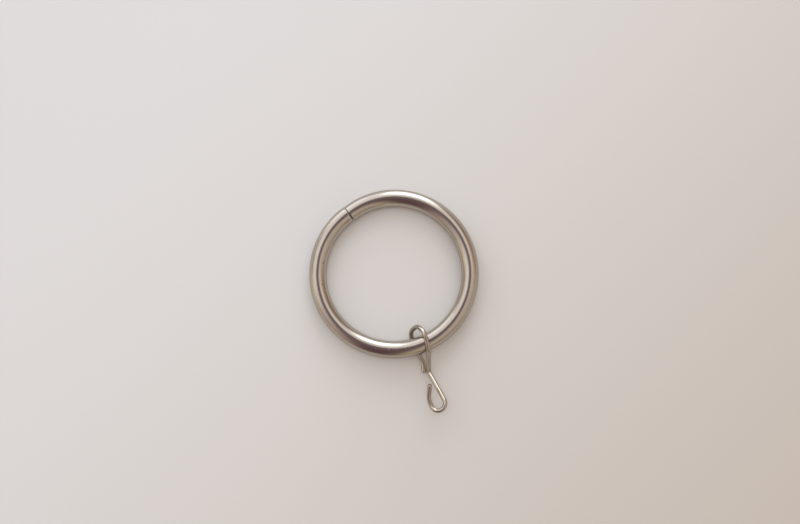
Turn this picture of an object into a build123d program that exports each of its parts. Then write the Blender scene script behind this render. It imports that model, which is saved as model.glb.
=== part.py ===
from build123d import *

import os
from math import asin, cos, degrees, radians, sin

# Curtain ring with a loose wire hook, lying on a flat surface as it comes to rest.
# Millimetres, +Z up. The origin is the centre of the ring, where the middle of a pole passes.
# The hook crosses the tube at -Y and its eye points away from the ring.

# Ring: steel tube bent to a circle and butted end to end
POLE_OPENING = 38.0
TUBE = 4.8
TUBE_WALL = 0.8

# Butt joint: the last stretch of each end is bent a little tighter than the circle, one more than the other
JOINT_ANGLE = 108.0
JOINT_GAP = 0.26
END_STRETCH = 40.0
LEFT_END_TIGHTER = 0.75
RIGHT_END_TIGHTER = 1.25
TUBE_RIM_ROUND = 0.12

# Wire of the hook, and its play on the tube
WIRE = 1.2
WIRE_END_ROUND = 0.2
SWING_CLEARANCE = 0.25

# Large loop: how far past a snug fit it reaches inside the ring, below and above, and how it leans
ROOM_BELOW = 1.0
ROOM_ABOVE = 2.6
LOOP_RISE = 0.65
LEAN_BELOW = 1.5
LEAN_ABOVE = 2.87
LEAN_OVER_TUBE = 2.35

# Free end of the large loop: it bends aside past the tube, and ends beside the neck
FREE_END_SIDE = 1.06
FREE_END_BEND = 1.6
FREE_END_SHORT = 0.1

# Neck, where the upper strand turns into the straight run to the eye
NECK_REACH = 7.75
NECK_HEIGHT = 1.15
NECK_SIDE = 0.25
NECK_BEND = 1.0

# Small open eye for the curtain
EYE_REACH = 9.7
EYE_TAIL = 3.4
EYE_SIDE = 2.25
EYE_TAIL_SIDE = 1.5
EYE_BEND = 1.8
EYE_TILT = 0.1
RETURN_SIDE = 2.4
RETURN_BACK = 5.65
RETURN_BEND = 4.0
CUT_END_SIDE = 0.52
CUT_END_BACK = 9.35
CUT_END_HEIGHT = 1.2

# Places that follow from the sizes
mean_radius = (POLE_OPENING + TUBE) / 2
bore = TUBE - 2 * TUBE_WALL

# The tube rests on the surface opposite the hook, and on the wire at the hook
lift = WIRE + SWING_CLEARANCE
rest_tilt = asin(lift / (2 * mean_radius))
resting_plane = Plane(origin=(0, 0, 0), x_dir=(1, 0, 0), z_dir=(0, sin(rest_tilt), cos(rest_tilt)))

# Centre of the tube where the hook crosses it, and how far from it the middle of the wire runs
crossing = Vector(0, -mean_radius * cos(rest_tilt), mean_radius * sin(rest_tilt))
reach = TUBE / 2 + SWING_CLEARANCE + WIRE / 2


def end_turn(radius):
    """Angle of an end arc of this radius that brings its end to half a gap short of the joint."""
    inset = mean_radius - radius
    sideways = degrees(asin(inset * sin(radians(END_STRETCH)) / radius))
    half_gap = degrees(JOINT_GAP / 2 / radius)
    return END_STRETCH + sideways - half_gap


# Ring, bent flat and then laid down with its tilt
right_radius = mean_radius - RIGHT_END_TIGHTER
left_radius = mean_radius - LEFT_END_TIGHTER

with BuildPart() as flat_ring:
    with BuildLine() as ring_line:
        circle = CenterArc((0, 0), mean_radius, JOINT_ANGLE + END_STRETCH, 360 - 2 * END_STRETCH)
        right_end = JernArc(circle @ 1, circle % 1, right_radius, end_turn(right_radius))
        left_end = JernArc(circle @ 0, -(circle % 0), left_radius, -end_turn(left_radius))
    with BuildSketch(Plane(origin=left_end @ 1, z_dir=left_end % 1)):
        Circle(TUBE / 2)
        Circle(bore / 2, mode=Mode.SUBTRACT)
    sweep(path=ring_line.line)
    butted_faces = flat_ring.faces().filter_by(GeomType.PLANE)
    outer_rims = butted_faces.edges().group_by(SortBy.LENGTH)[-1]
    fillet(outer_rims, TUBE_RIM_ROUND)
ring = flat_ring.part.moved(resting_plane.location)

# Corners of the bent wire, from the free end of the large loop to the cut end of the eye, measured from
# the tube's centre at the crossing: X along the tube, Y towards the middle of the ring, Z up
free_end = [
    (-FREE_END_SIDE, FREE_END_SHORT - NECK_REACH, -reach),
    (NECK_SIDE - WIRE / 2, -reach - FREE_END_BEND, -reach),
    (-WIRE / 2, -reach, -reach),
]
large_loop = [
    (-LEAN_BELOW, reach + ROOM_BELOW, -reach),
    (LEAN_ABOVE, reach + ROOM_ABOVE, reach + LOOP_RISE),
    (LEAN_OVER_TUBE, -reach / 2, reach),
]
neck = (NECK_SIDE, -NECK_REACH, NECK_HEIGHT - reach)
eye_middle = -NECK_REACH - EYE_REACH
small_eye = [
    (EYE_SIDE, eye_middle, EYE_TILT - reach),
    (-EYE_TAIL_SIDE, eye_middle - EYE_TAIL, -reach),
    (-RETURN_SIDE, eye_middle - EYE_TAIL + RETURN_BACK, 2 * EYE_TILT - reach),
    (-CUT_END_SIDE, eye_middle - EYE_TAIL + CUT_END_BACK, CUT_END_HEIGHT - reach),
]
wire_corners = [*free_end, *large_loop, neck, *small_eye]
wire_bends = [reach, reach, reach, reach, reach, NECK_BEND, EYE_BEND, EYE_BEND, RETURN_BEND]

# Hook
with BuildPart() as bent_wire:
    with BuildLine(Plane(origin=crossing)) as wire_line:
        FilletPolyline(*wire_corners, radius=wire_bends)
    with BuildSketch(Plane(origin=wire_line.line @ 0, z_dir=wire_line.line % 0)):
        Circle(WIRE / 2)
    sweep(path=wire_line.line)
    cut_faces = bent_wire.faces().filter_by(GeomType.PLANE)
    fillet(cut_faces.edges(), WIRE_END_ROUND)
wire_hook = bent_wire.part

# Write each piece
ring.label = "ring"
wire_hook.label = "wire_hook"

os.makedirs("parts", exist_ok=True)
for piece in (ring, wire_hook):
    export_step(piece, f"parts/{piece.label}.step")
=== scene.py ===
"""Round metal curtain ring with a loose wire hook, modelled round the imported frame."""

import math

import bpy
from bpy.props import FloatProperty, FloatVectorProperty, IntProperty, PointerProperty
from bpy.types import Operator, Panel, PropertyGroup
from mathutils import Matrix, Vector


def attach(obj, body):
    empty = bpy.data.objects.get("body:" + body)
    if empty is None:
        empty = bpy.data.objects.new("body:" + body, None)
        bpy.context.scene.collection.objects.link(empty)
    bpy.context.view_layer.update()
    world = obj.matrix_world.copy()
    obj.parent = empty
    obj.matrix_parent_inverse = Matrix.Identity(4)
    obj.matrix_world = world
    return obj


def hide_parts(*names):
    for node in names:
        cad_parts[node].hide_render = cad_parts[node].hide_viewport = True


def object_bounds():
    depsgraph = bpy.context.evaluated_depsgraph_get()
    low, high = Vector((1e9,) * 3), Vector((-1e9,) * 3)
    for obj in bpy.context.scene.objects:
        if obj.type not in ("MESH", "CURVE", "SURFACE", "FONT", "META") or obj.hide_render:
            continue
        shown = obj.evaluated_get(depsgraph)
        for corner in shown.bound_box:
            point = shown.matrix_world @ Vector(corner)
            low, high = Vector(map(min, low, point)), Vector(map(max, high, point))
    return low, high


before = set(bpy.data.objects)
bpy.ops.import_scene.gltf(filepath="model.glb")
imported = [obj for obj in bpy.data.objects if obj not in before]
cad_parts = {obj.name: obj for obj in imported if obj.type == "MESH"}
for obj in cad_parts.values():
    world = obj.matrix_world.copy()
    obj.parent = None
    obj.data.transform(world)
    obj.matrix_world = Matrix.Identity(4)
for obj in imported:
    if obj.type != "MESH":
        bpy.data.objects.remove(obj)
cad_low, cad_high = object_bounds()

bl_info = {
    "name": "Curtain Ring",
    "version": (1, 0, 0),
    "blender": (4, 5, 0),
    "location": "3D View > Sidebar > Curtain Ring",
    "description": "Builds a butted metal curtain ring with a loose wire hook",
    "category": "Add Mesh",
}

MM = 0.001

# Two places this close together count as the same
TOUCH = 0.01 * MM

# Steps in the small rounding of a cut edge
ROUNDING_STEPS = 4

# Edges sharper than these stay sharp when a piece is smoothed
RING_CREASE = math.radians(40)
WIRE_CREASE = math.radians(60)


# Sizes and colours


def length(name, description, millimetres):
    """A size property, given in millimetres and kept in metres."""
    return FloatProperty(
        name=name, description=description, default=millimetres * MM, unit="LENGTH", precision=5
    )


def angle(name, description, degrees):
    """An angle property, given in degrees."""
    return FloatProperty(
        name=name, description=description, default=math.radians(degrees), subtype="ANGLE"
    )


def share(name, description, value):
    """A property from 0 to 1."""
    return FloatProperty(
        name=name, description=description, default=value, min=0, max=1, subtype="FACTOR"
    )


def colour(name, description, value):
    """A colour property, in linear red, green and blue."""
    return FloatVectorProperty(
        name=name, description=description, default=value, min=0, max=1, subtype="COLOR"
    )


def power(name, description, watts):
    """A lamp's power."""
    return FloatProperty(name=name, description=description, default=watts, unit="POWER")


class RingSizes(PropertyGroup):
    """Sizes of the ring's tube"""

    pole_opening: length("Pole opening", "Inside of the ring, which the pole passes", 38.0)
    tube: length("Tube", "Outside diameter of the ring's tube", 4.8)
    tube_wall: length("Tube wall", "Thickness of the tube's wall", 0.8)
    joint_angle: angle("Joint angle", "Where the butted ends meet, round the ring", 108.0)
    joint_gap: length("Joint gap", "Room left between the two butted ends", 0.26)
    end_stretch: angle("End stretch", "How much of each end is bent tighter", 40.0)
    left_end_tighter: length("Left end tighter", "Bend radius lost on the left end", 0.75)
    right_end_tighter: length("Right end tighter", "Bend radius lost on the right end", 1.25)
    rim_round: length("Rim round", "Rounding of the tube's outer rims", 0.12)
    facets_round: IntProperty(
        name="Facets round the tube", description="Faces round the tube", default=56, min=12
    )
    facet_turn: angle("Facet turn", "How far one face reaches round the ring", 1.25)


class HookSizes(PropertyGroup):
    """Sizes of the wire and of each of its bends"""

    wire: length("Wire", "Diameter of the hook's wire", 1.2)
    wire_end_round: length("Wire end round", "Rounding of the wire's cut ends", 0.2)
    swing_clearance: length("Swing clearance", "Room between the wire and the tube", 0.25)
    room_below: length("Room below", "Reach of the loop inside the ring, below the tube", 1.0)
    room_above: length("Room above", "Reach of the loop inside the ring, above the tube", 2.6)
    loop_rise: length("Loop rise", "Height of the loop above a snug fit", 0.65)
    lean_below: length("Lean below", "Sideways place of the loop's lower corner", 1.5)
    lean_above: length("Lean above", "Sideways place of the loop's upper corner", 2.87)
    lean_over_tube: length("Lean over tube", "Sideways place of the wire over the tube", 2.35)
    free_end_side: length("Free end side", "Sideways place of the free end", 1.06)
    free_end_bend: length("Free end bend", "Straight lie of the free end past the tube", 1.6)
    free_end_short: length("Free end short", "How far short of the neck the free end stops", 0.1)
    neck_reach: length("Neck reach", "Distance of the neck from the tube", 7.75)
    neck_height: length("Neck height", "Height of the neck above the lower strand", 0.45)
    neck_side: length("Neck side", "Sideways place of the neck", 0.25)
    neck_bend: length("Neck bend", "Bend radius at the neck", 1.0)
    eye_reach: length("Eye reach", "Distance of the eye's outer bend from the neck", 9.6)
    eye_tail: length("Eye tail", "Length of the eye past its outer bend", 3.3)
    eye_side: length("Eye side", "Sideways place of the eye's outer bend", 2.0)
    eye_tail_side: length("Eye tail side", "Sideways place of the eye's far corner", 1.15)
    eye_bend: length("Eye bend", "Bend radius of the eye's outer bend", 2.0)
    eye_tail_bend: length("Eye tail bend", "Bend radius of the eye's far corner", 1.9)
    eye_height: length("Eye height", "Height of the outer bend above the lower strand", 4.5)
    eye_tail_height: length("Eye tail height", "Height of the far corner above that strand", 4.6)
    return_side: length("Return side", "Sideways place of the returning strand", 2.5)
    return_back: length("Return back", "How far the returning strand runs back", 5.2)
    return_bend: length("Return bend", "Bend radius of the returning strand", 4.0)
    return_height: length("Return height", "Height of its bend above the lower strand", 3.4)
    cut_end_side: length("Cut end side", "Sideways place of the cut end", 0.6)
    cut_end_back: length("Cut end back", "How far back the cut end lies", 9.45)
    cut_end_height: length("Cut end height", "Height of the cut end above the lower strand", 5.6)
    facets_round: IntProperty(
        name="Facets round the wire", description="Faces round the wire", default=28, min=8
    )
    facet_turn: angle("Facet turn", "How far one face reaches round a bend", 4.0)
    facet_length: length("Facet length", "Length of the faces on a straight run", 0.45)


class NickelFinish(PropertyGroup):
    """Colours and softness of the metal"""

    satin_nickel: colour("Satin nickel", "Plating of the ring", (0.52, 0.48, 0.43))
    satin_cloud: colour("Satin cloud", "Clouds in the ring's plating", (0.475, 0.427, 0.36))
    satin_edge: colour("Satin edge", "The ring's plating seen edge on", (0.74, 0.65, 0.55))
    polished_nickel: colour("Polished nickel", "Plating of the wire", (0.51, 0.462, 0.39))
    polished_cloud: colour("Polished cloud", "Clouds in the wire's plating", (0.41, 0.355, 0.285))
    polished_edge: colour("Polished edge", "The wire's plating seen edge on", (0.33, 0.26, 0.18))
    cut_steel: colour("Cut steel", "Metal bared on the wire's cut ends", (0.30, 0.265, 0.225))
    # Dark scale with painted shade: these colours make the joint's gap dark
    scale_and_gap_shade: colour("Steel scale", "Dark scale inside the tube", (0.10, 0.08, 0.06))
    scale_and_gap_shade_cloud: colour("Scale cloud", "Clouds in the dark scale", (0.05, 0.038, 0.027))
    tarnish: colour("Tarnish", "Brown of the small stains", (0.35, 0.23, 0.11))
    bright_nick: colour("Bright nick", "Metal bared by the small nicks", (0.93, 0.91, 0.88))
    ring_roughness: share("Ring roughness", "Softness of the ring's reflections", 0.21)
    wire_roughness: share("Wire roughness", "Softness of the wire's reflections", 0.09)


class StageLook(PropertyGroup):
    """Surface, lamps and camera"""

    floor_size: length("Floor size", "Side of the surface", 6000)
    # The surface's two colours are painted light: its lighter side and its painted shade stand for
    # how the room's light falls
    floor_painted_light: colour("Floor, light side", "Surface at the picture's left", (0.715, 0.755, 0.79))
    floor_painted_shade: colour("Floor, warm side", "Surface at the picture's right", (0.55, 0.526, 0.49))
    # Where the painted shade stops and where the painted light is full
    painted_shade_end: length("Warm end", "Where the surface starts to get lighter", -170)
    painted_light_start: length("Light start", "Where the surface is at its lightest", 100)
    window_light: power("Window light", "Power of the window lamp", 11.5)
    window_tint: colour("Window tint", "Colour of the window's light", (0.86, 0.93, 1))
    window_away: length("Window distance", "Distance of the window lamp", 1600)
    window_width: length("Window width", "Width of the window lamp", 1220)
    window_height: length("Window height", "Height of the window lamp", 1400)
    window_side: angle("Window side", "Compass angle of the window from +X", 63)
    window_rise: angle("Window rise", "Height angle of the window's middle", 21)
    ceiling_light: power("Ceiling light", "Power of the light from above", 3.8)
    ceiling_tint: colour("Ceiling tint", "Colour of the light from above", (1, 0.88, 0.74))
    ceiling_away: length("Ceiling distance", "Height of the light from above", 1200)
    ceiling_width: length("Ceiling width", "Side of the light from above", 700)
    camera_place: FloatVectorProperty(
        name="Camera place",
        description="Where the camera stands",
        default=(0.001552, -0.021655, 0.299213),
        unit="LENGTH",
    )
    camera_aim: FloatVectorProperty(
        name="Camera aim",
        description="Point on the surface in the middle of the picture",
        default=(0.002704, 0.002719, -0.003125),
        unit="LENGTH",
    )
    camera_roll: angle("Picture up", "Compass angle of the picture's upward direction", 71)
    camera_lens: FloatProperty(
        name="Lens", description="Focal length in millimetres", default=48.04
    )
    camera_sensor: FloatProperty(
        name="Sensor", description="Width of the sensor in millimetres", default=36
    )
    camera_nearest: length("Nearest", "Distance from which the camera sees", 10)


# Shader maths


class Signal:
    """A shader socket that can be used in Python arithmetic."""

    def __init__(self, tree, socket):
        self.tree = tree
        self.socket = socket

    def math(self, operation, *values):
        return self.tree.node("ShaderNodeMath", {"operation": operation}, dict(enumerate(values)))

    def output(self, name):
        """Another output of the same node."""
        return Signal(self.tree, self.socket.node.outputs[name])

    def __add__(self, other):
        return self.math("ADD", self, other)

    def __radd__(self, other):
        return self.math("ADD", other, self)

    def __sub__(self, other):
        return self.math("SUBTRACT", self, other)

    def __mul__(self, other):
        return self.math("MULTIPLY", self, other)

    def __pow__(self, other):
        return self.math("POWER", self, other)

    def __abs__(self):
        return self.math("ABSOLUTE", self)


class Finish:
    """The nodes of a material, a lamp or the world."""

    def __init__(self, owner):
        owner.use_nodes = True
        self.tree = owner.node_tree
        self.tree.nodes.clear()

    def node(self, kind, settings=None, sockets=None, output=0):
        """Adds a node with its settings, then the values or links of its sockets."""
        made = self.tree.nodes.new(kind)
        for name, value in (settings or {}).items():
            setattr(made, name, value)
        for name, value in (sockets or {}).items():
            if isinstance(value, Signal):
                self.tree.links.new(value.socket, made.inputs[name])
            else:
                made.inputs[name].default_value = value
        return Signal(self, made.outputs[output]) if made.outputs else made

    def split(self, vector):
        """The three parts of a vector."""
        x = self.node("ShaderNodeSeparateXYZ", {}, {"Vector": vector}, "X")
        return x, x.output("Y"), x.output("Z")

    def join(self, x, y, z):
        """A vector of three parts."""
        return self.node("ShaderNodeCombineXYZ", {}, {"X": x, "Y": y, "Z": z})

    def ramp(self, value, start, end):
        """Eases from 0 at start to 1 at end."""
        return self.node(
            "ShaderNodeMapRange",
            {"interpolation_type": "SMOOTHSTEP"},
            {"Value": value, "From Min": start, "From Max": end},
            "Result",
        )

    def blend(self, factor, first, second):
        """A colour that goes from the first to the second."""
        return self.node(
            "ShaderNodeMix", {"data_type": "RGBA"}, {0: factor, 6: first, 7: second}, 2
        )

    def noise(self, place, scale, detail=2.0, roughness=0.5):
        """Even noise from 0 to 1 at that place."""
        return self.node(
            "ShaderNodeTexNoise",
            {},
            {"Vector": place, "Scale": scale, "Detail": detail, "Roughness": roughness},
            "Fac",
        )

    def surface(self, **sockets):
        """Ends a material with one shader, whose sockets are named with _ for each space."""
        values = {name.replace("_", " "): value for name, value in sockets.items()}
        shader = self.node("ShaderNodeBsdfPrincipled", {}, values)
        self.node("ShaderNodeOutputMaterial", {}, {"Surface": shader})


def full(value):
    """A colour with its alpha."""
    return (*value, 1.0)


# Shaping


def leave_nothing_selected():
    if bpy.context.object and bpy.context.object.mode != "OBJECT":
        bpy.ops.object.mode_set(mode="OBJECT")
    bpy.ops.object.select_all(action="DESELECT")


def add_profile(name, radius, facets, place, direction):
    """Adds a circle across a direction, and leaves all of it selected in edit mode."""
    leave_nothing_selected()
    turn = Vector(direction).to_track_quat("Z", "Y").to_euler()
    bpy.ops.mesh.primitive_circle_add(
        vertices=facets, radius=radius, fill_type="NOTHING", location=place, rotation=turn
    )
    piece = bpy.context.object
    piece.name = name
    piece.data.name = name
    bpy.ops.object.transform_apply(location=True, rotation=True, scale=True)
    bpy.ops.object.mode_set(mode="EDIT")
    bpy.ops.mesh.select_mode(type="VERT")
    bpy.ops.mesh.select_all(action="SELECT")
    return piece


def extrude_run(way, pieces=1):
    """Extrudes the selected profile along a straight run."""
    step = Vector(way) / pieces
    for _ in range(pieces):
        bpy.ops.mesh.extrude_region_move(TRANSFORM_OT_translate={"value": step})


def spin_bend(centre, axis, turn, facet_turn):
    """Spins the selected profile round a bend, and gives the number of steps."""
    steps = max(2, round(turn / facet_turn))
    # Spin turns clockwise round its axis, so the angle is negative
    bpy.ops.mesh.spin(steps=steps, angle=-turn, center=centre, axis=axis, dupli=False)
    return steps


def face_outwards():
    """Turns all faces of the piece outwards, and goes back to object mode."""
    bpy.ops.mesh.select_all(action="SELECT")
    bpy.ops.mesh.normals_make_consistent(inside=False)
    bpy.ops.object.mode_set(mode="OBJECT")


def select_where(piece, wanted):
    """Selects the vertices for which wanted is true, and goes back to edit mode."""
    bpy.ops.object.mode_set(mode="OBJECT")
    for vertex in piece.data.vertices:
        vertex.select = wanted(vertex.co)
    for edge in piece.data.edges:
        edge.select = all(piece.data.vertices[i].select for i in edge.vertices)
    for face in piece.data.polygons:
        face.select = False
    bpy.ops.object.mode_set(mode="EDIT")


def add_modifier(piece, kind, **settings):
    """Adds a modifier with its settings and applies it."""
    modifier = piece.modifiers.new(kind.title(), kind)
    for name, value in settings.items():
        setattr(modifier, name, value)
    bpy.ops.object.modifier_apply(modifier=modifier.name)


def finish_piece(piece, body, node, crease):
    """Smooths a piece and lets it stand for its CAD node."""
    bpy.ops.object.shade_smooth_by_angle(angle=crease)
    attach(piece, body)
    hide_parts(node)


# Ring


def mean_radius(ring):
    return (ring.pole_opening + ring.tube) / 2


def lying(scene):
    """How the ring lies: down on the surface, and up on the wire at the hook."""
    lift = scene.hook_sizes.wire + scene.hook_sizes.swing_clearance
    tilt = math.asin(lift / (2 * mean_radius(scene.ring_sizes)))
    return Matrix.Rotation(-tilt, 3, "X")


def round_the_ring(turn, radius):
    return Vector((radius * math.cos(turn), radius * math.sin(turn), 0))


class EndArc:
    """The tighter arc that closes one end of the tube, half a gap short of the joint.

    The side is 1 for the left end and -1 for the right end.
    """

    def __init__(self, ring, lie, side, tighter):
        radius = mean_radius(ring) - tighter
        sideways = math.asin(tighter * math.sin(ring.end_stretch) / radius)
        foot = ring.joint_angle + side * ring.end_stretch
        centre = round_the_ring(foot, tighter)
        self.turn = ring.end_stretch + sideways - ring.joint_gap / 2 / radius
        stop = foot - side * self.turn
        self.centre = lie @ centre
        self.end = lie @ (centre + round_the_ring(stop, radius))
        self.way = lie @ round_the_ring(stop + math.pi / 2, 1)


class RING_OT_tube(Operator):
    """Bends the tube to a ring whose two ends are butted together"""

    bl_idname = "mesh.add_ring_tube"
    bl_label = "Ring Tube"

    def execute(self, context):
        ring = context.scene.ring_sizes
        lie = lying(context.scene)
        left = EndArc(ring, lie, 1, ring.left_end_tighter)
        right = EndArc(ring, lie, -1, ring.right_end_tighter)
        axis = lie @ Vector((0, 0, 1))
        circle_turn = 2 * math.pi - 2 * ring.end_stretch

        piece = add_profile("ring_tube", ring.tube / 2, ring.facets_round, left.end, left.way)
        spin_bend(left.centre, axis, left.turn, ring.facet_turn)
        spin_bend((0, 0, 0), axis, circle_turn, ring.facet_turn)
        spin_bend(right.centre, axis, right.turn, ring.facet_turn)
        face_outwards()
        piece.data.materials.append(satin_nickel(context.scene))
        piece.data.materials.append(raw_steel_and_gap_shade(context.scene))
        add_modifier(
            piece,
            "SOLIDIFY",
            thickness=ring.tube_wall,
            offset=-1,
            use_rim=True,
            material_offset=1,
            material_offset_rim=1,
        )

        def on_outer_rim(place):
            return any(
                abs((place - arc.end).dot(arc.way)) < TOUCH
                and ring.tube / 2 - (place - arc.end).length < 0.1 * ring.tube_wall
                for arc in (left, right)
            )

        select_where(piece, on_outer_rim)
        bpy.ops.mesh.bevel(offset=ring.rim_round, segments=ROUNDING_STEPS, affect="EDGES")
        bpy.ops.object.mode_set(mode="OBJECT")
        finish_piece(piece, "ring_body", "ring", RING_CREASE)
        return {"FINISHED"}


# Hook


def wire_corners(scene):
    """Corners of the bent wire from its free end to the eye's cut end, and the bend at each."""
    ring, hook = scene.ring_sizes, scene.hook_sizes
    reach = ring.tube / 2 + hook.swing_clearance + hook.wire / 2
    eye_middle = -hook.neck_reach - hook.eye_reach
    eye_end = eye_middle - hook.eye_tail
    corners = [
        (-hook.free_end_side, hook.free_end_short - hook.neck_reach, -reach),
        (hook.neck_side - hook.wire / 2, -reach - hook.free_end_bend, -reach),
        (-hook.wire / 2, -reach, -reach),
        (-hook.lean_below, reach + hook.room_below, -reach),
        (hook.lean_above, reach + hook.room_above, reach + hook.loop_rise),
        (hook.lean_over_tube, -reach / 2, reach),
        (hook.neck_side, -hook.neck_reach, hook.neck_height - reach),
        (hook.eye_side, eye_middle, hook.eye_height - reach),
        (-hook.eye_tail_side, eye_end, hook.eye_tail_height - reach),
        (-hook.return_side, eye_end + hook.return_back, hook.return_height - reach),
        (-hook.cut_end_side, eye_end + hook.cut_end_back, hook.cut_end_height - reach),
    ]
    bends = [reach] * 5 + [hook.neck_bend, hook.eye_bend, hook.eye_tail_bend, hook.return_bend]
    crossing = lying(scene) @ Vector((0, -mean_radius(ring), 0))
    return [crossing + Vector(corner) for corner in corners], bends


class RING_OT_hook(Operator):
    """Bends the wire to a large loop round the tube and a small open eye"""

    bl_idname = "mesh.add_wire_hook"
    bl_label = "Wire Hook"

    def execute(self, context):
        hook = context.scene.hook_sizes
        corners, bends = wire_corners(context.scene)
        edge = hook.wire_end_round
        end_radius = hook.wire / 2 - edge
        quarter = [math.pi / 2 * k / ROUNDING_STEPS for k in range(ROUNDING_STEPS + 1)]
        first_way = (corners[1] - corners[0]).normalized()
        last_way = (corners[-1] - corners[-2]).normalized()
        tightness = [0]

        def run_straight(run):
            pieces = max(1, round(run.length / hook.facet_length))
            extrude_run(run, pieces)
            tightness.extend([0] * pieces)

        def round_end(place, way, turns):
            """Widens or narrows the profile along a quarter circle, and gives its last place."""
            for before, after in zip(turns, turns[1:]):
                step = edge * abs(math.cos(before) - math.cos(after))
                size = end_radius + edge * math.sin(after)
                size /= end_radius + edge * math.sin(before)
                place = place + way * step
                extrude_run(way * step)
                bpy.ops.transform.resize(value=(size, size, size), center_override=place)
                tightness.append(0)
            return place

        piece = add_profile("bent_wire", end_radius, hook.facets_round, corners[0], first_way)
        place = round_end(corners[0], first_way, quarter)
        for before, corner, after, bend in zip(corners, corners[1:], corners[2:], bends):
            come = (corner - before).normalized()
            go = (after - corner).normalized()
            turn = come.angle(go)
            cut = bend * math.tan(turn / 2)
            run_straight(corner - come * cut - place)
            centre = corner + (go - come).normalized() * bend / math.cos(turn / 2)
            steps = spin_bend(centre, come.cross(go).normalized(), turn, hook.facet_turn)
            tightness.extend([hook.wire / 2 / bend] * steps)
            place = corner + go * cut
        last_place = corners[-1] - last_way * edge
        run_straight(last_place - place)
        round_end(last_place, last_way, quarter[::-1])
        bpy.ops.object.mode_set(mode="OBJECT")
        self.note_way_along(piece, hook.facets_round, tightness)

        for end in (corners[0], corners[-1]):
            select_where(piece, lambda place: (place - end).length < end_radius + TOUCH)
            bpy.ops.mesh.edge_face_add()
        face_outwards()
        piece.data.materials.append(polished_nickel(context.scene))
        finish_piece(piece, "hook_body", "wire_hook", WIRE_CREASE)
        return {"FINISHED"}

    def note_way_along(self, piece, facets, tightness):
        """Notes on each vertex its place along and round the wire, and how tight the bend is."""
        mesh = piece.data
        rounds = len(mesh.vertices) // facets
        if rounds != len(tightness) or rounds * facets != len(mesh.vertices):
            raise RuntimeError(f"the wire has {rounds} profiles where {len(tightness)} were made")
        way, tight, along, last = [], [], 0.0, None
        for k in range(rounds):
            corners = [mesh.vertices[k * facets + i].co for i in range(facets)]
            middle = sum(corners, Vector()) / facets
            along += (middle - last).length if last else 0
            last = middle
            for i in range(facets):
                turn = 2 * math.pi * i / facets
                size = (corners[i] - middle).length
                way += [along, size * math.cos(turn), size * math.sin(turn)]
                tight.append(tightness[k])
        made = mesh.attributes.new("straight_wire", "FLOAT_VECTOR", "POINT")
        made.data.foreach_set("vector", way)
        made = mesh.attributes.new("bend_tightness", "FLOAT", "POINT")
        made.data.foreach_set("value", tight)


# Finishes


# Small stains and bright nicks on the ring: angle round the ring, angle round the tube from
# its outer side over the top, and size in millimetres
STAINS = ((152.9, 130, 0.46), (170.0, 121, 0.42), (113.1, 139, 0.5))
NICKS = ((-122.2, 80, 0.22), (-112.5, 90, 0.30), (-106.4, 81, 0.16), (-54.4, 123, 0.16))

# How far a stain's and a nick's outline wanders, in millimetres, and the share of each that is
# at full strength
STAIN_WANDER = 0.5
NICK_WANDER = 0.3
MARK_CORE = 0.35

# How far inside the wire's skin its bare cut face starts
CUT_MARGIN = 0.02 * MM

# Fineness of each pattern, in waves per metre
LINE_ALONG = 260
LINE_ACROSS = 9000
SATIN_CLOUDS = 420
SATIN_GRAIN = 5200
MARK_OUTLINE = 3600
SCALE_CLOUDS = 2500
DIE_LINE_ALONG = 120
POLISHED_CLOUDS = 900
WRINKLE_ALONG = 7000
WRINKLE_ACROSS = 2200

BUMP_DEPTH = 0.02 * MM
SATIN_BUMP = 0.12
POLISHED_BUMP = 0.15


def on_tube(ring, turn, round_tube):
    """A place on the tube's skin in the ring's own frame, from its two angles in degrees."""
    out = mean_radius(ring) + ring.tube / 2 * math.cos(math.radians(round_tube))
    up = ring.tube / 2 * math.sin(math.radians(round_tube))
    return round_the_ring(math.radians(turn), out) + Vector((0, 0, up))


def spots(tree, place, ring, marks, wander):
    """Ragged spots at the marks on the tube, from 0 to 1."""
    outline = tree.noise(place, MARK_OUTLINE, 3.0).output("Color")
    ragged = tree.node(
        "ShaderNodeVectorMath",
        {"operation": "MULTIPLY_ADD"},
        {0: outline, 1: (wander * MM,) * 3, 2: place},
    )
    total = None
    for turn, round_tube, size in marks:
        middle = on_tube(ring, turn, round_tube) + Vector((wander * MM / 2,) * 3)
        far = tree.node(
            "ShaderNodeVectorMath", {"operation": "DISTANCE"}, {0: ragged, 1: middle}, "Value"
        )
        spot = tree.ramp(far, size * MM, size * MM * MARK_CORE)
        total = spot if total is None else total.math("MAXIMUM", total, spot)
    return total


def bump(tree, height, strength):
    """The normal of a finely uneven skin."""
    return tree.node(
        "ShaderNodeBump", {}, {"Strength": strength, "Distance": BUMP_DEPTH, "Height": height}
    )


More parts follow.
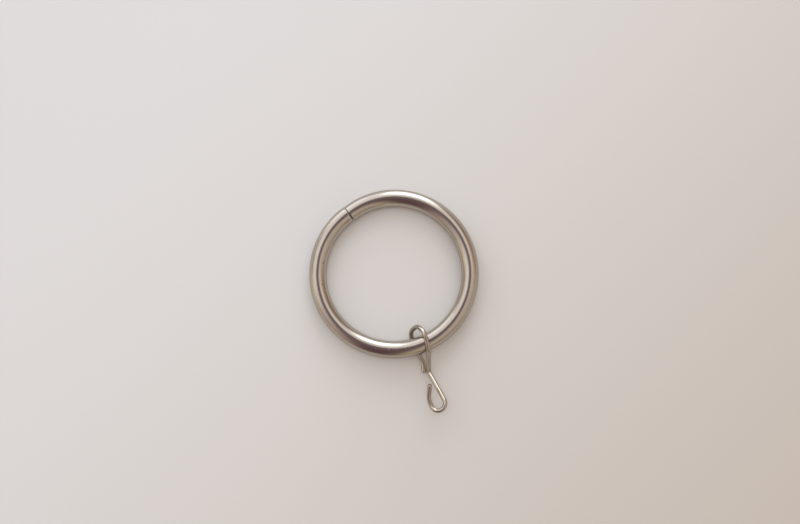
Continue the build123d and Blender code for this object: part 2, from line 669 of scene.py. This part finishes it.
def satin_nickel(scene):
    """Satin plating with fine lines along the tube, a few stains and bright nicks."""
    ring, look = scene.ring_sizes, scene.nickel_finish
    material = bpy.data.materials.new("satin_nickel")
    tree = Finish(material)
    place = tree.node("ShaderNodeTexCoord", output="Object")
    level = lying(scene).inverted().to_euler()
    flat = tree.node(
        "ShaderNodeMapping", {"vector_type": "POINT"}, {"Vector": place, "Rotation": level}
    )
    x, y, z = tree.split(flat)
    across = (x * x + y * y) ** 0.5 - mean_radius(ring)

    # Fine lines that run along the tube
    lines = tree.node(
        "ShaderNodeTexNoise",
        {"noise_dimensions": "4D"},
        {
            "Vector": tree.join(x * LINE_ALONG, y * LINE_ALONG, across * LINE_ACROSS),
            "W": z * LINE_ACROSS,
            "Scale": 1.0,
            "Detail": 2.0,
        },
        "Fac",
    )
    cloud = tree.noise(flat, SATIN_CLOUDS, 3.0)
    grain = tree.noise(flat, SATIN_GRAIN, 2.0)
    stained = spots(tree, flat, ring, STAINS, STAIN_WANDER)
    nicked = spots(tree, flat, ring, NICKS, NICK_WANDER)

    clouded = tree.ramp(cloud, 0.3, 0.7) * 0.35
    base = tree.blend(clouded, full(look.satin_nickel), full(look.satin_cloud))
    base = tree.blend(stained * 0.8, base, full(look.tarnish))
    base = tree.blend(nicked * 0.7, base, full(look.bright_nick))
    rough = look.ring_roughness + (lines - 0.5) * 0.10 + (cloud - 0.5) * 0.06 + stained * 0.25
    height = lines * 0.6 + grain * 0.4 - stained * 0.8
    tree.surface(
        Base_Color=base,
        Metallic=1.0,
        Roughness=rough,
        Specular_Tint=full(look.satin_edge),
        Normal=bump(tree, height, SATIN_BUMP),
    )
    return material


def raw_steel_and_gap_shade(scene):
    """Unplated steel inside the tube and on its cut faces, dull with dark scale and with painted
    shade that darkens the joint's gap.
    """
    look = scene.nickel_finish
    material = bpy.data.materials.new("raw_steel_and_gap_shade")
    tree = Finish(material)
    place = tree.node("ShaderNodeTexCoord", output="Object")
    cloud = tree.noise(place, SCALE_CLOUDS, 4.0)
    # Dark scale and the painted shade of the gap, in clouds
    base = tree.blend(
        tree.ramp(cloud, 0.35, 0.7), full(look.scale_and_gap_shade), full(look.scale_and_gap_shade_cloud)
    )
    tree.surface(Base_Color=base, Specular_IOR_Level=0.2, Roughness=0.8 + cloud * 0.2)
    return material


def polished_nickel(scene):
    """Bright drawn wire with faint lines, rougher in the tight bends and bare at its ends."""
    hook, look = scene.hook_sizes, scene.nickel_finish
    material = bpy.data.materials.new("polished_nickel")
    tree = Finish(material)
    place = tree.node("ShaderNodeTexCoord", output="Object")
    way = tree.node("ShaderNodeAttribute", {"attribute_name": "straight_wire"}, {}, "Vector")
    tight = tree.node("ShaderNodeAttribute", {"attribute_name": "bend_tightness"}, {}, "Fac")
    along, side, other_side = tree.split(way)

    def stretched(fine_along, fine_across):
        """Noise that is drawn out along the wire, or round it."""
        parts = (along * fine_along, side * fine_across, other_side * fine_across)
        return tree.noise(tree.join(*parts), 1.0)

    die_lines = stretched(DIE_LINE_ALONG, LINE_ACROSS)
    mottle = tree.noise(place, POLISHED_CLOUDS, 3.0)
    wrinkles = stretched(WRINKLE_ALONG, WRINKLE_ACROSS)
    skin = (side * side + other_side * other_side) ** 0.5
    radius = hook.wire / 2
    cut_face = tree.ramp(skin, radius - CUT_MARGIN, radius - hook.wire_end_round)
    wear = tree.ramp(tight, 0.1, 0.5)

    clouded = tree.ramp(mottle, 0.45, 0.75) * 0.4
    base = tree.blend(clouded, full(look.polished_nickel), full(look.polished_cloud))
    base = tree.blend(cut_face * 0.85, base, full(look.cut_steel))
    rough = look.wire_roughness + (mottle - 0.5) * 0.08 + wear * 0.08 + cut_face * 0.25
    height = die_lines * 0.5 + wrinkles * wear * 1.2
    tree.surface(
        Base_Color=base,
        Metallic=1.0,
        Roughness=rough,
        Specular_Tint=full(look.polished_edge),
        Normal=bump(tree, height, POLISHED_BUMP),
    )
    return material


# Stage


# Compass angle of the side to which the room is lighter, and to which the surface's painted light
# makes it lighter, in degrees
LIGHT_SIDE = 121

# The plain room: its dim side, its light side and its low parts
ROOM_DIM = (0.72, 0.61, 0.52)
ROOM_LIGHT = (1.22, 1.15, 1.14)
ROOM_LOW = (0.575, 0.485, 0.41)

# A dark band that runs from overhead towards one side: its colour, the compass angle of that
# side, how far its middle lies to the left, and where it starts and is full across its width,
# along its length and above the horizon, all as parts of a direction of length 1
BAND = (0.155, 0.082, 0.095)
BAND_SIDE = -124
BAND_LEFT = 0.02
BAND_ACROSS = (0.52, 0.12)
BAND_ALONG = (-0.10, 0.10)
BAND_UP = (0.0, 0.42)

# Soft round patches in the room, each laid over those before it: compass angle and height angle
# of the middle, the angles within which it is full and past which it is gone, all in degrees,
# its strength and its colour
PATCHES = (
    (64, 22, 14, 36, 0.6, (0.84, 0.85, 0.88)),
    (40, 54, 8, 34, 0.6, (1.16, 1.08, 1.03)),
    (111, 1, 8, 22, 0.9, (1.80, 1.68, 1.56)),
    (103, 19, 5, 24, 1.0, (1.62, 1.66, 1.78)),
    (18, 12, 12, 38, 0.9, (0.34, 0.24, 0.18)),
    (-2, 26, 4, 18, 0.5, (0.76, 0.40, 0.19)),
    (156, 2, 10, 32, 0.5, (0.39, 0.29, 0.20)),
    (169, 17, 4, 19, 0.75, (1.19, 1.06, 0.65)),
    (-157, 25, 10, 38, 0.7, (0.47, 0.35, 0.31)),
    (-169, 57, 4, 19, 0.5, (0.53, 0.32, 0.30)),
    (-75, 4, 10, 34, 0.5, (0.36, 0.27, 0.20)),
    (-103, 27, 3, 15, 0.8, (0.72, 0.69, 0.28)),
)
OVERHEAD = (76, 85, 10, 21, 1.0, (0.19, 0.145, 0.16))

# Where a lamp starts to fade, as shares of its width and height from the middle, and what
# makes up for the fading
FULL_ACROSS = 0.16
FULL_UP = 0.30
FADE_GAIN = 1.6


def compass(turn):
    return Vector((math.cos(turn), math.sin(turn), 0))


def pale_surface(stage):
    """A pale surface with painted light: a little lighter towards one side, with painted shade
    towards the other.
    """
    material = bpy.data.materials.new("pale_surface")
    tree = Finish(material)
    place = tree.node("ShaderNodeTexCoord", output="Object")
    x, y, _ = tree.split(place)
    light_side = compass(math.radians(LIGHT_SIDE))
    sideways = x * light_side.x + y * light_side.y
    # Painted light and shade: the colour eases across the surface from the darker side to the
    # lighter
    painted_lightness = tree.ramp(sideways, stage.painted_shade_end, stage.painted_light_start)
    base = tree.blend(painted_lightness, full(stage.floor_painted_shade), full(stage.floor_painted_light))
    tree.surface(Base_Color=base, Roughness=0.6)
    return material


def room_light(world):
    """A pale room: lighter on one side, dimmer low down, with soft patches that metal shows."""
    tree = Finish(world)
    direction = tree.node("ShaderNodeTexCoord", output="Generated")
    x, y, z = tree.split(direction)

    def towards(degrees):
        way = compass(math.radians(degrees))
        return x * way.x + y * way.y

    def lay_patch(sky, degrees, rise, inner, outer, strength, tint):
        way = compass(math.radians(degrees)) * math.cos(math.radians(rise))
        close = x * way.x + y * way.y + z * math.sin(math.radians(rise))
        patch = tree.ramp(close, math.cos(math.radians(outer)), math.cos(math.radians(inner)))
        return tree.blend(patch * strength, sky, full(tint))

    light_share = tree.ramp(towards(LIGHT_SIDE), -0.8, 0.6)
    sky = tree.blend(light_share, full(ROOM_DIM), full(ROOM_LIGHT))
    sky = tree.blend(tree.ramp(z, 0.75, 0.10) * 0.8, sky, full(ROOM_LOW))
    for patch in PATCHES:
        sky = lay_patch(sky, *patch)
    band = tree.ramp(abs(towards(BAND_SIDE + 90) + BAND_LEFT), *BAND_ACROSS)
    band = band * tree.ramp(towards(BAND_SIDE), *BAND_ALONG) * tree.ramp(z, *BAND_UP)
    sky = tree.blend(band, sky, full(BAND))
    sky = lay_patch(sky, *OVERHEAD)
    light = tree.node("ShaderNodeBackground", {}, {"Color": sky, "Strength": 1.0})
    tree.node("ShaderNodeOutputWorld", {}, {"Surface": light})


def soft_lamp(name, way, away, width, height, power, tint):
    """A large soft lamp that way from the origin, fading at its edges."""
    bpy.ops.object.light_add(type="AREA", location=way * away)
    lamp = bpy.context.object
    lamp.name = name
    lamp.rotation_euler = way.to_track_quat("Z", "Y").to_euler()
    lamp.data.shape = "RECTANGLE"
    lamp.data.size = width
    lamp.data.size_y = height
    lamp.data.energy = power
    lamp.visible_camera = False
    tree = Finish(lamp.data)
    across, up, _ = tree.split(tree.node("ShaderNodeTexCoord", output="UV"))
    soft = tree.ramp(abs(across - 0.5), 0.5, FULL_ACROSS) * tree.ramp(abs(up - 0.5), 0.5, FULL_UP)
    light = tree.node("ShaderNodeEmission", {}, {"Color": full(tint), "Strength": soft * FADE_GAIN})
    tree.node("ShaderNodeOutputLight", {}, {"Surface": light})
    return lamp


def window_and_ceiling(stage):
    """Light from a window, and a broad light from above that the metal doesn't show."""
    rise = math.sin(stage.window_rise)
    way = compass(stage.window_side) * math.cos(stage.window_rise) + Vector((0, 0, rise))
    soft_lamp(
        "window_lamp",
        way,
        stage.window_away,
        stage.window_width,
        stage.window_height,
        stage.window_light,
        stage.window_tint,
    )
    ceiling = soft_lamp(
        "ceiling_lamp",
        Vector((0, 0, 1)),
        stage.ceiling_away,
        stage.ceiling_width,
        stage.ceiling_width,
        stage.ceiling_light,
        stage.ceiling_tint,
    )
    ceiling.visible_glossy = False


def aim_camera(stage):
    """The photograph's view: almost straight down, turned with the picture."""
    bpy.ops.object.camera_add(location=stage.camera_place)
    camera = bpy.context.object
    forward = (Vector(stage.camera_aim) - Vector(stage.camera_place)).normalized()
    right = forward.cross(compass(stage.camera_roll)).normalized()
    up = right.cross(forward)
    camera.rotation_euler = Matrix((right, up, -forward)).transposed().to_euler()
    camera.data.lens = stage.camera_lens
    camera.data.sensor_width = stage.camera_sensor
    camera.data.clip_start = stage.camera_nearest
    bpy.context.scene.camera = camera


class RING_OT_stage(Operator):
    """Sets out the pale surface, the light and the camera"""

    bl_idname = "scene.set_ring_stage"
    bl_label = "Stage"

    def execute(self, context):
        stage = context.scene.stage_look
        leave_nothing_selected()
        bpy.ops.mesh.primitive_plane_add(size=stage.floor_size, location=(0, 0, cad_low.z))
        surface = context.object
        surface.name = "pale_surface"
        bpy.ops.object.transform_apply(location=True, rotation=True, scale=True)
        surface.data.materials.append(pale_surface(stage))
        window_and_ceiling(stage)
        world = bpy.data.worlds.new("pale_room")
        context.scene.world = world
        room_light(world)
        aim_camera(stage)
        context.scene.view_settings.view_transform = "Standard"
        return {"FINISHED"}


# Panel and registration


class RING_PT_panel(Panel):
    """Buttons and sizes of the curtain ring"""

    bl_label = "Curtain Ring"
    bl_idname = "RING_PT_panel"
    bl_space_type = "VIEW_3D"
    bl_region_type = "UI"
    bl_category = "Curtain Ring"

    def draw(self, context):
        layout = self.layout
        for name, _, operators in GROUPS:
            box = layout.box()
            settings = getattr(context.scene, name)
            for key in settings.bl_rna.properties.keys():
                if key not in ("rna_type", "name"):
                    box.prop(settings, key)
            for operator in operators:
                box.operator(operator.bl_idname)


GROUPS = (
    ("ring_sizes", RingSizes, (RING_OT_tube,)),
    ("hook_sizes", HookSizes, (RING_OT_hook,)),
    ("nickel_finish", NickelFinish, ()),
    ("stage_look", StageLook, (RING_OT_stage,)),
)
CLASSES = (
    RingSizes,
    HookSizes,
    NickelFinish,
    StageLook,
    RING_OT_tube,
    RING_OT_hook,
    RING_OT_stage,
    RING_PT_panel,
)


def register():
    for made in CLASSES:
        bpy.utils.register_class(made)
    for name, group, _ in GROUPS:
        setattr(bpy.types.Scene, name, PointerProperty(type=group))


def unregister():
    for name, _, _ in GROUPS:
        delattr(bpy.types.Scene, name)
    for made in reversed(CLASSES):
        bpy.utils.unregister_class(made)


def main():
    register()
    bpy.ops.mesh.add_ring_tube()
    bpy.ops.mesh.add_wire_hook()
    bpy.ops.scene.set_ring_stage()


if __name__ == "__main__":
    main()
